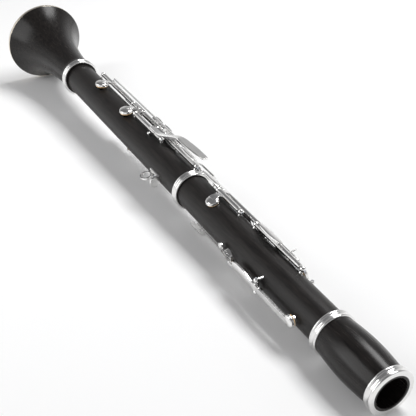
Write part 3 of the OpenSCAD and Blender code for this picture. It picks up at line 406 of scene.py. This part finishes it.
class CLARINET_OT_barrel(bpy.types.Operator):
    """Turns the barrel's wood and its two rings"""

    bl_idname = "clarinet.barrel"
    bl_label = "Barrel and rings"

    def execute(self, context):
        sizes = context.scene.clarinet_sizes
        steps = 24
        top = MOUTH_RING_R - RING_WALL
        profile = [(MOUTH_SOCKET_R + 0.3, 0.0), (13.45, 0.0), (13.45, 0.8), (top, 0.8), (top, RING_LEN - 0.1)]
        for i in range(steps + 1):
            t = i / steps
            profile.append((15.5 + 1.7 * math.sin(math.pi * t), RING_LEN + (UPPER_S - 2 * RING_LEN) * t))
        foot = BARREL_RING_R - RING_WALL
        profile += [(foot, UPPER_S - RING_LEN + 0.1), (foot, UPPER_S), (SOCKET_R, UPPER_S),
                    (SOCKET_R, UPPER_S - 17.8), (BORE_R, UPPER_S - 17.8), (BORE_R, 17), (MOUTH_SOCKET_R, 17),
                    (MOUTH_SOCKET_R, 0.3)]
        bm = bmesh.new()
        turn_profile(bm, profile, ALONG, sizes.facets)
        settle("turned_barrel", bm, "barrel", "polished_wood", ["barrel"])
        bm = bmesh.new()
        mouth = ring_profile(0, MOUTH_RING_R, sizes.hollow, top)
        mouth = [(13.45, 0.0), (13.45, 0.8), (top, 0.8)] + mouth[:0:-1]
        turn_profile(bm, mouth, ALONG, sizes.facets)
        turn_profile(bm, ring_profile(UPPER_S - RING_LEN, BARREL_RING_R, sizes.hollow, foot), ALONG, sizes.facets)
        settle("turned_barrel_rings", bm, "barrel", "silver_turned", ["barrel_rings"])
        return {"FINISHED"}


class CLARINET_OT_rings(bpy.types.Operator):
    """Turns the socket rings of the lower joint and the bell"""

    bl_idname = "clarinet.rings"
    bl_label = "Socket rings"

    def execute(self, context):
        sizes = context.scene.clarinet_sizes
        for name, s, radius, body, node in (
            ("turned_lower_ring", LOWER_S, MIDDLE_RING_R, "lower", "lower_socket_ring"),
            ("turned_bell_ring", BELL_S, BELL_RING_R, "bell", "bell_socket_ring"),
        ):
            bm = bmesh.new()
            turn_profile(bm, ring_profile(s, radius, sizes.hollow, radius - RING_WALL), ALONG, sizes.facets)
            settle(name, bm, body, "silver_turned", [node])
        return {"FINISHED"}


class CLARINET_OT_bell(bpy.types.Operator):
    """Turns the bell and the ring round its mouth"""

    bl_idname = "clarinet.bell"
    bl_label = "Bell"

    def execute(self, context):
        sizes = context.scene.clarinet_sizes
        curve, steps = 2.6, 44
        waist_s, throat_s, rim_s = BELL_S + RING_LEN + 6, BELL_S + 17.8, END_S - BELL_RIM
        waist_r, throat_r = 15.4, 10.2
        collar = BELL_RING_R - RING_WALL
        profile = [(BELL_SOCKET_R, BELL_S), (collar, BELL_S), (collar, BELL_S + RING_LEN + 0.3),
                   (collar - 0.25, BELL_S + RING_LEN + 1.2)]
        for i in range(steps + 1):
            t = i / steps
            profile.append((waist_r + (BELL_MOUTH_R - 0.03 - waist_r) * ease(t, curve),
                            waist_s + (rim_s - waist_s) * t))
        for i in range(steps, -1, -1):
            t = i / steps
            profile.append((throat_r + (BELL_MOUTH_R - BELL_WALL - throat_r) * ease(t, curve * 0.9),
                            throat_s + (rim_s - throat_s) * t))
        profile.append((BELL_SOCKET_R, throat_s))
        bm = bmesh.new()
        turn_profile(bm, profile, ALONG, sizes.facets)
        settle("turned_bell", bm, "bell", "polished_wood", ["bell"])
        bm = bmesh.new()
        inner = BELL_MOUTH_R - BELL_WALL
        rim = [(inner, rim_s), (BELL_MOUTH_R - 0.25, rim_s)]
        rim += arc(BELL_MOUTH_R - 0.3, rim_s + 0.3, 0.3, -90, 0, 3)
        rim += arc(BELL_MOUTH_R - 1.2, END_S - 1.2, 1.2, 0, 90, 8)
        rim += arc(inner + 0.9, END_S - 0.9, 0.9, 90, 180, 6)
        turn_profile(bm, rim, ALONG, sizes.facets)
        settle("turned_bell_mouth_ring", bm, "bell", "champagne_metal", ["bell_mouth_ring"])
        return {"FINISHED"}


# Pad cups: body, station, azimuth, seat, radius, and the rod that holds a key open
U, V = UPPER_S, LOWER_S
CUPS = [
    ("first_ring", U + 67, 4, SEAT_U, 4.8, (32, UPPER_ROD, 7)),
    ("second_ring", U + 148, 4, SEAT_U, 5.2, (32, UPPER_ROD, 7)),
    ("a", U + 34, -27, SEAT_U, 5.2, None),
    ("g_sharp", U + 54, 6, SEAT_U, 5.2, None),
    ("c_sharp", U + 151, 94, SEAT_U, 5.2, None),
    ("left_sliver", U + 119.5, -66, SEAT_U, 4.2, None),
    ("thumb_ring", U + 88, 204, SEAT_U, 4.4, (-131, UPPER_ROD, 5)),
    ("register", U + 20.5, 170, UPPER_R + 1.9, 4.7, None),
    ("upper_trill", U + 41.5, -60, SEAT_U, 4.2, None),
    ("lower_trill", U + 60, -77, SEAT_U, 4.2, None),
    ("side_f_sharp", U + 46, -94, SEAT_U, 4.2, None),
    ("side_b_flat", U + 60, -111, SEAT_U, 4.2, None),
    ("right_ring", V + 35, 0, SEAT_L, 4.0, (50, LOWER_ROD, 7)),
    ("right_sliver", V + 60, -86, SEAT_L, 4.2, None),
    ("e_flat", V + 108, -112, SEAT_L, 5.9, None),
    ("f", V + 150, -4, SEAT_L, 5.9, (-76, LOWER_ROD, -8)),
    ("f_sharp", V + 120.5, 93, SEAT_L, 5.9, (34, LOWER_ROD, -11)),
    ("e", V + 179.5, 85, SEAT_L, 5.9, (34, LOWER_ROD, -11)),
]


class CLARINET_OT_cups(bpy.types.Operator):
    """Domes the pad cups and beads their lips"""

    bl_idname = "clarinet.cups"
    bl_label = "Pad cups"

    def execute(self, context):
        rise = context.scene.clarinet_sizes.dome
        for body, s, az, seat, radius, opened in CUPS:
            wall = radius + 0.07
            low = SKIRT - 0.05
            shoulder = CUP_H - 0.55
            lip = arc(wall, low + 0.28, 0.16, -90, 90, 5)
            profile = [(radius - 0.3, low)] + lip
            profile += [(wall * math.cos(a), shoulder + rise * math.sin(a)) for a in
                        [math.radians(90 * i / 10) for i in range(10)]]
            profile += [(0.0, shoulder + rise), (0.0, CUP_H - 0.8), (radius - 0.3, CUP_H - 0.8)]
            bm = bmesh.new()
            turn_profile(bm, profile, place(s, az) @ Matrix.Translation((0, 0, seat + SHUT_GAP)), 56)
            if opened:
                bmesh.ops.transform(bm, matrix=swung(*opened), verts=bm.verts)
            settle(body + "_cup_dome", bm, body, "silver_keys")
        return {"FINISHED"}


# Curved touchpieces: body, stations, azimuth, radius of the back, widths, belly, and how the key stands
TOUCHES = [
    ("g_sharp", U + 74, U + 101, 57, UPPER_ROD + 3.2, 5.2, 6.6, 0.4, None),
    ("c_sharp", U + 163, LOWER_S - 1, 50.5, UPPER_ROD + 1.1, 5, 5, 0.2, None),
    ("a", U + 61, U + 75, -27, UPPER_ROD + 1.2, 6.8, 5, 0.4, None),
    ("upper_trill", U + 142, U + 161, -60, UPPER_R + 6.4, 5, 4, 0.2, None),
    ("lower_trill", U + 142, U + 161, -77, UPPER_R + 6.4, 5, 4, 0.2, None),
    ("left_e_lever", V + 9, V + 32, 66, LOWER_ROD + 3.5, 4.4, 5.6, 0.2, (34, LOWER_ROD, -11)),
]
TOUCH_T = 1.3


def leaf_half(t, w_a, w_b, belly):
    return (w_a + (w_b - w_a) * t) / 2 * math.sin(math.pi * (0.06 + 0.88 * t)) ** 0.35 + belly * math.sin(math.pi * t)


class CLARINET_OT_touches(bpy.types.Operator):
    """Crowns the touchpieces that the fingers press"""

    bl_idname = "clarinet.touches"
    bl_label = "Touchpieces"

    def execute(self, context):
        crown = context.scene.clarinet_sizes.crown
        for body, s_a, s_b, az, radius, w_a, w_b, belly, opened in TOUCHES:
            bm = bmesh.new()
            bmesh.ops.create_grid(bm, x_segments=28, y_segments=12, size=1.0)
            length = s_b - s_a
            face_r = radius + TOUCH_T
            for v in bm.verts:
                t, q = (v.co.x + 1) / 2, v.co.y
                half = leaf_half(t, w_a, w_b, belly) + 0.04
                side = q * half
                end = min(1.0, 4 * t, 4 * (1 - t))
                lift = crown * (1 - q**4) * (end * (2 - end)) + 0.03
                turn = side / face_r
                v.co = (t * length, math.sin(turn) * (face_r + lift), math.cos(turn) * (face_r + lift))
            rim = bmesh.ops.extrude_face_region(bm, geom=bm.faces[:])
            low = [g for g in rim["geom"] if isinstance(g, bmesh.types.BMVert)]
            for v in low:
                v.co.y *= (face_r - 0.5) / face_r
                v.co.z = min(v.co.z, math.sqrt(max(0.0, (face_r - 0.5) ** 2 - v.co.y**2)))
            bmesh.ops.transform(bm, matrix=place(s_b, az), verts=bm.verts)
            if opened:
                bmesh.ops.transform(bm, matrix=swung(*opened), verts=bm.verts)
            settle(body + "_touch_crown", bm, body, "silver_keys", angle=50)
        return {"FINISHED"}


# Flat finger plates: body, station, azimuth, radius of the back, length, width, corner, stance
PLATES = [
    ("e_flat", V + 94, -36, LOWER_ROD + 5.6, 14.6, 10, 3.4, None),
    ("f", V + 111.5, -36, LOWER_ROD + 4, 14.6, 10, 3.4, (-76, LOWER_ROD, -8)),
    ("right_f_sharp_rocker", V + 94, -9, LOWER_ROD + 5.2, 14.6, 10, 3.4, (10, LOWER_ROD, 11)),
    ("right_e_rocker", V + 111.5, -9, LOWER_ROD + 5.2, 14.6, 10, 3.4, (10, LOWER_ROD, 11)),
    ("left_sliver", U + 119.5, -12, UPPER_ROD + 1, 6.2, 8.5, 2.5, None),
    ("right_sliver", V + 60, -22, LOWER_ROD + 1, 6.2, 8.5, 2.5, None),
]


class CLARINET_OT_plates(bpy.types.Operator):
    """Pillows the flat plates under the little and ring fingers"""

    bl_idname = "clarinet.plates"
    bl_label = "Finger plates"

    def execute(self, context):
        crown = context.scene.clarinet_sizes.crown
        for body, s, az, radius, length, width, corner, opened in PLATES:
            bm = bmesh.new()
            bmesh.ops.create_grid(bm, x_segments=1, y_segments=1, size=0.5)
            bmesh.ops.scale(bm, vec=(length + 0.08, width + 0.08, 1), verts=bm.verts)
            bmesh.ops.bevel(
                bm, geom=bm.verts[:], offset=corner, affect="VERTICES", segments=7, profile=0.5, material=-1
            )
            for inset, lift in ((0.001, 0.18), (0.28, 0.2), (0.6, 0.14), (1.1, 0.08), (1.2, 0.02)):
                top = [f for f in bm.faces if len(f.verts) > 4]
                bmesh.ops.inset_region(bm, faces=top, thickness=inset, depth=0, use_even_offset=True)
                top = [f for f in bm.faces if len(f.verts) > 4]
                bmesh.ops.translate(bm, vec=(0, 0, lift * crown / 0.45), verts=list({v for f in top for v in f.verts}))
            base = [e for e in bm.edges if e.is_boundary]
            bmesh.ops.holes_fill(bm, edges=base, sides=0)
            bmesh.ops.transform(
                bm, matrix=place(s, az) @ Matrix.Translation((0, 0, radius + TOUCH_T - 0.1)), verts=bm.verts
            )
            if opened:
                bmesh.ops.transform(bm, matrix=swung(*opened), verts=bm.verts)
            settle(body + "_plate_crown", bm, body, "silver_keys", angle=60)
        return {"FINISHED"}


# Rods: body, stations of the first and last posts, azimuth, radius
RODS = [
    ("upper", U + 60, U + 176, 32, UPPER_ROD), ("upper", U + 47, U + 108, 48, UPPER_ROD),
    ("upper", U + 126, U + 160, 58, UPPER_ROD), ("upper", U + 80, U + 119, -131, UPPER_ROD),
    ("upper", U + 110, U + 129, -38, UPPER_ROD), ("lower", V + 10.5, V + 82, 50, LOWER_ROD),
    ("lower", V + 51, V + 69, -58, LOWER_ROD), ("lower", V + 52, V + 68, 34, LOWER_ROD),
    ("lower", V + 82.5, V + 207.5, 34, LOWER_ROD), ("lower", V + 60.5, V + 112.5, 72, LOWER_ROD),
    ("lower", V + 84, V + 139, 10, LOWER_ROD), ("lower", V + 82, V + 159.5, -76, LOWER_ROD),
]
# How far a rod reaches past the middle of its last post
ROD_REACH = 2.7
# Slotted head of a rod: radii at its foot and crown, height, and half the slot's width
HEAD_FOOT_R, HEAD_CROWN_R, HEAD_H, SLOT_HALF = 1.06, 0.96, 0.34, 0.13


class CLARINET_OT_screws(bpy.types.Operator):
    """Cuts slotted heads on the ends of the rods"""

    bl_idname = "clarinet.screws"
    bl_label = "Rod screws"

    def execute(self, context):
        for n, (body, s_a, s_b, az, r) in enumerate(RODS):
            bm = bmesh.new()
            for s, way in ((s_a - ROD_REACH, 1), (s_b + ROD_REACH, -1)):
                side = Matrix.Rotation(math.radians(90 * way), 4, "Y") @ Matrix.Rotation(0.7 * (n + 1), 4, "Z")
                where = place(s, az) @ Matrix.Translation((0, 0, r)) @ side
                for m in (-1, 1):
                    half = bmesh.new()
                    bmesh.ops.create_cone(
                        half, cap_ends=True, segments=40, radius1=HEAD_FOOT_R, radius2=HEAD_CROWN_R,
                        depth=HEAD_H,
                        matrix=Matrix.Translation((0, 0, 0.02)),
                    )
                    made = bmesh.ops.bisect_plane(
                        half, geom=half.verts[:] + half.edges[:] + half.faces[:], plane_co=(0, SLOT_HALF * m, 0),
                        plane_no=(0, -m, 0), clear_outer=True, dist=1e-5,
                    )
                    cut = [g for g in made["geom_cut"] if isinstance(g, bmesh.types.BMEdge)]
                    bmesh.ops.holes_fill(half, edges=cut, sides=0)
                    bmesh.ops.transform(half, matrix=where, verts=half.verts)
                    add_to(bm, half)
            settle(f"rod_screws_{n + 1}", bm, body, "steel_screws")
        return {"FINISHED"}


class CLARINET_OT_finishes(bpy.types.Operator):
    """Makes the finishes and gives them to the frame's nodes"""

    bl_idname = "clarinet.finishes"
    bl_label = "Finishes"

    def execute(self, context):
        wood, metal = context.scene.clarinet_wood, context.scene.clarinet_metal
        FINISHES.update(
            satin_wood=wood_finish("satin_black_wood", wood, wood.satin),
            polished_wood=wood_finish("polished_black_wood", wood, wood.polish, 0.8),
            silver_keys=metal_finish("silver_plated_keys", metal.silver, metal.gloss, metal.edge),
            silver_turned=metal_finish("silver_plated_rings", metal.silver, metal.gloss + 0.02),
            champagne_metal=metal_finish("champagne_plated_ring", metal.champagne, metal.gloss + 0.03),
            steel_rods=metal_finish("ground_steel", (0.55, 0.56, 0.58), 0.24, 0.0, 0.12, 0.1),
            steel_screws=metal_finish("screw_steel", (0.5, 0.51, 0.54), 0.2, 0.0, 0.1, 0.1),
            cork=cork_finish(),
            pad_skin=pad_finish(),
        )
        by_slot = {
            "grenadilla": "satin_wood", "silver_plate": "silver_keys", "steel": "steel_rods", "cork": "cork",
            "pad_skin": "pad_skin", "champagne_plate": "champagne_metal",
        }
        for part in frame["record"]["subparts"]:
            finish(frame["nodes"][part["node"]], by_slot[part["material_slot"]])
        return {"FINISHED"}


# Camera: where it stands, and its right, up and backward directions, in the frame
CAMERA_AT = Vector((0.30728, -0.29657, 0.38645))
CAMERA_RIGHT = Vector((0.48336, 0.87542, 0.0))
CAMERA_UP = Vector((-0.46003, 0.25401, 0.8508))
CAMERA_BACK = Vector((0.7448, -0.41124, 0.5255))


class CLARINET_OT_stage(bpy.types.Operator):
    """Lays the floor, hangs the lamps and sets the camera"""

    bl_idname = "clarinet.stage"
    bl_label = "Stage"

    def lamp(self, name, at, aim, power, size, size_y):
        data = bpy.data.lights.new(name, "AREA")
        data.shape = "RECTANGLE"
        data.size, data.size_y = size, size_y
        data.energy = power
        obj = bpy.data.objects.new(name, data)
        bpy.context.scene.collection.objects.link(obj)
        obj.location = at
        obj.rotation_euler = (aim - at).to_track_quat("-Z", "Y").to_euler()
        return obj

    def execute(self, context):
        look = context.scene.clarinet_stage
        low, high = CAD_BOX
        middle = (Vector(low) + Vector(high)) / 2
        ground = low[2]
        bm = bmesh.new()
        bmesh.ops.create_grid(bm, x_segments=2, y_segments=2, size=12)
        bmesh.ops.translate(bm, vec=(middle.x, middle.y, ground), verts=bm.verts)
        mesh = bpy.data.meshes.new("floor")
        bm.to_mesh(mesh)
        bm.free()
        floor = bpy.data.objects.new("floor", mesh)
        context.scene.collection.objects.link(floor)
        f = Finish("white_floor")
        f.set(Base_Color=(*look.floor, 1), Roughness=0.9, Specular_IOR_Level=0.1)
        mesh.materials.append(f.material)

        right, back, up = CAMERA_RIGHT, CAMERA_BACK, Vector((0, 0, 1))
        away = Vector((-back.x, -back.y, 0)).normalized()
        self.lamp("key", middle + right * 0.55 + up * 1.1 + away * 0.35, middle, look.key_power, 0.9, 0.5)
        self.lamp("fill", middle - right * 0.9 + up * 0.5 - away * 0.2, middle, look.fill_power, 0.5, 0.9)

        world = bpy.data.worlds.new("studio")
        context.scene.world = world
        world.use_nodes = True
        sky = world.node_tree.nodes["Background"]
        sky.inputs["Strength"].default_value = look.sky
        # Pale round the horizon and dark overhead, so that curved metal has something to show
        way = world.node_tree.nodes.new("ShaderNodeTexCoord")
        parts = world.node_tree.nodes.new("ShaderNodeSeparateXYZ")
        shade = world.node_tree.nodes.new("ShaderNodeValToRGB")
        ends = shade.color_ramp.elements
        ends[0].position, ends[0].color = 0.12, (1, 1, 1, 1)
        ends[1].position, ends[1].color = 0.62, (0.2, 0.2, 0.205, 1)
        link = world.node_tree.links.new
        link(way.outputs["Generated"], parts.inputs[0])
        link(parts.outputs["Z"], shade.inputs["Fac"])
        link(shade.outputs["Color"], sky.inputs["Color"])

        data = bpy.data.cameras.new("camera")
        data.sensor_width = 36
        data.sensor_fit = "HORIZONTAL"
        data.lens = look.focal
        data.clip_start = 0.01
        camera = bpy.data.objects.new("camera", data)
        context.scene.collection.objects.link(camera)
        turn = Matrix((CAMERA_RIGHT, CAMERA_UP, CAMERA_BACK)).transposed().to_4x4()
        camera.matrix_world = Matrix.Translation(CAMERA_AT) @ turn
        context.scene.camera = camera
        context.scene.view_settings.view_transform = "Standard"
        return {"FINISHED"}


class CLARINET_PT_panel(bpy.types.Panel):
    """Lists the clarinet's pieces"""

    bl_label = "Clarinet"
    bl_idname = "CLARINET_PT_panel"
    bl_space_type = "VIEW_3D"
    bl_region_type = "UI"
    bl_category = "Clarinet"

    def draw(self, context):
        for group in ("clarinet_wood", "clarinet_metal", "clarinet_sizes", "clarinet_stage"):
            settings = getattr(context.scene, group)
            for name in settings.__annotations__:
                self.layout.prop(settings, name)
        for kind in OPERATORS:
            self.layout.operator(kind.bl_idname)


GROUPS = {
    "clarinet_wood": WoodLook, "clarinet_metal": MetalLook, "clarinet_sizes": PieceSizes, "clarinet_stage": StageLook,
}
OPERATORS = (
    CLARINET_OT_finishes, CLARINET_OT_stage, CLARINET_OT_barrel, CLARINET_OT_rings, CLARINET_OT_bell,
    CLARINET_OT_cups, CLARINET_OT_touches, CLARINET_OT_plates, CLARINET_OT_screws,
)


def register():
    for name, kind in GROUPS.items():
        bpy.utils.register_class(kind)
        setattr(bpy.types.Scene, name, PointerProperty(type=kind))
    for kind in (*OPERATORS, CLARINET_PT_panel):
        bpy.utils.register_class(kind)


def unregister():
    for kind in reversed((*OPERATORS, CLARINET_PT_panel)):
        bpy.utils.unregister_class(kind)
    for name, kind in reversed(GROUPS.items()):
        delattr(bpy.types.Scene, name)
        bpy.utils.unregister_class(kind)


def main():
    register()
    for kind in OPERATORS:
        area, name = kind.bl_idname.split(".")
        getattr(getattr(bpy.ops, area), name)()


if __name__ == "__main__":
    main()
